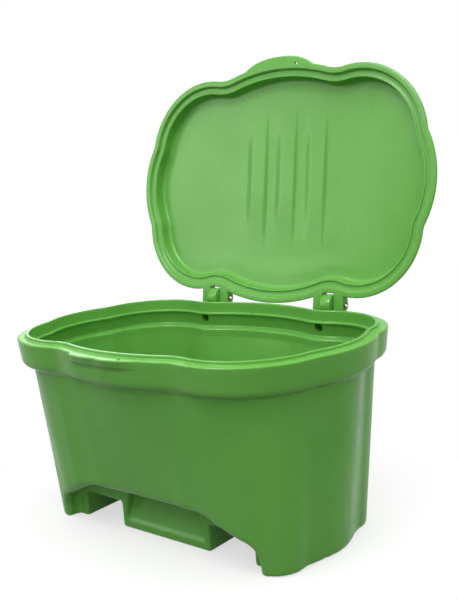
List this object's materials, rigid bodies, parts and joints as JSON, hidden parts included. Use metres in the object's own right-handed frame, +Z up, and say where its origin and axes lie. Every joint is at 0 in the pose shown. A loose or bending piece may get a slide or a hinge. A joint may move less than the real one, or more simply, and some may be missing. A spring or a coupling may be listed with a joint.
{
  "type": "grit bin",
  "caption": "Lobed moulded plastic grit bin: a tapered tub with fork channels under it and a domed lid that swings back on pinned hinges and stands open.",
  "frame": {"origin": "on the ground under the middle of the tub, on the sole of the middle runner", "axes": "+Z up, -Y the front with the grip, +Y the hinges, +X the right-hand end seen from the front"},
  "size_m": [0.982, 0.8112, 1.172],
  "materials": {
    "green_plastic": "satin mid green, moulded through",
    "zinc_steel": "bright zinc",
    "black_steel": "black oxide"
  },
  "bodies": {
    "tub_body": {"tub": "green_plastic", "hinge_tongue_left": "green_plastic", "tongue_bolt_left": "zinc_steel", "outer_washer_left": "zinc_steel", "inner_washer_left": "black_steel", "tongue_nut_left": "black_steel", "hinge_tongue_right": "green_plastic", "tongue_bolt_right": "zinc_steel", "outer_washer_right": "zinc_steel", "inner_washer_right": "black_steel", "tongue_nut_right": "black_steel"},
    "lid_body": {"lid": "green_plastic", "hinge_pin_left": "zinc_steel", "pin_retainer_left": "black_steel", "hinge_pin_right": "zinc_steel", "pin_retainer_right": "black_steel"}
  },
  "joints": [
    {"name": "lid_hinge", "type": "hinge", "parent": "tub_body", "child": "lid_body", "pos_m": [0, 0.325, 0.5105], "axis": [1, 0, 0], "range_deg": [0, 100]}
  ]
}
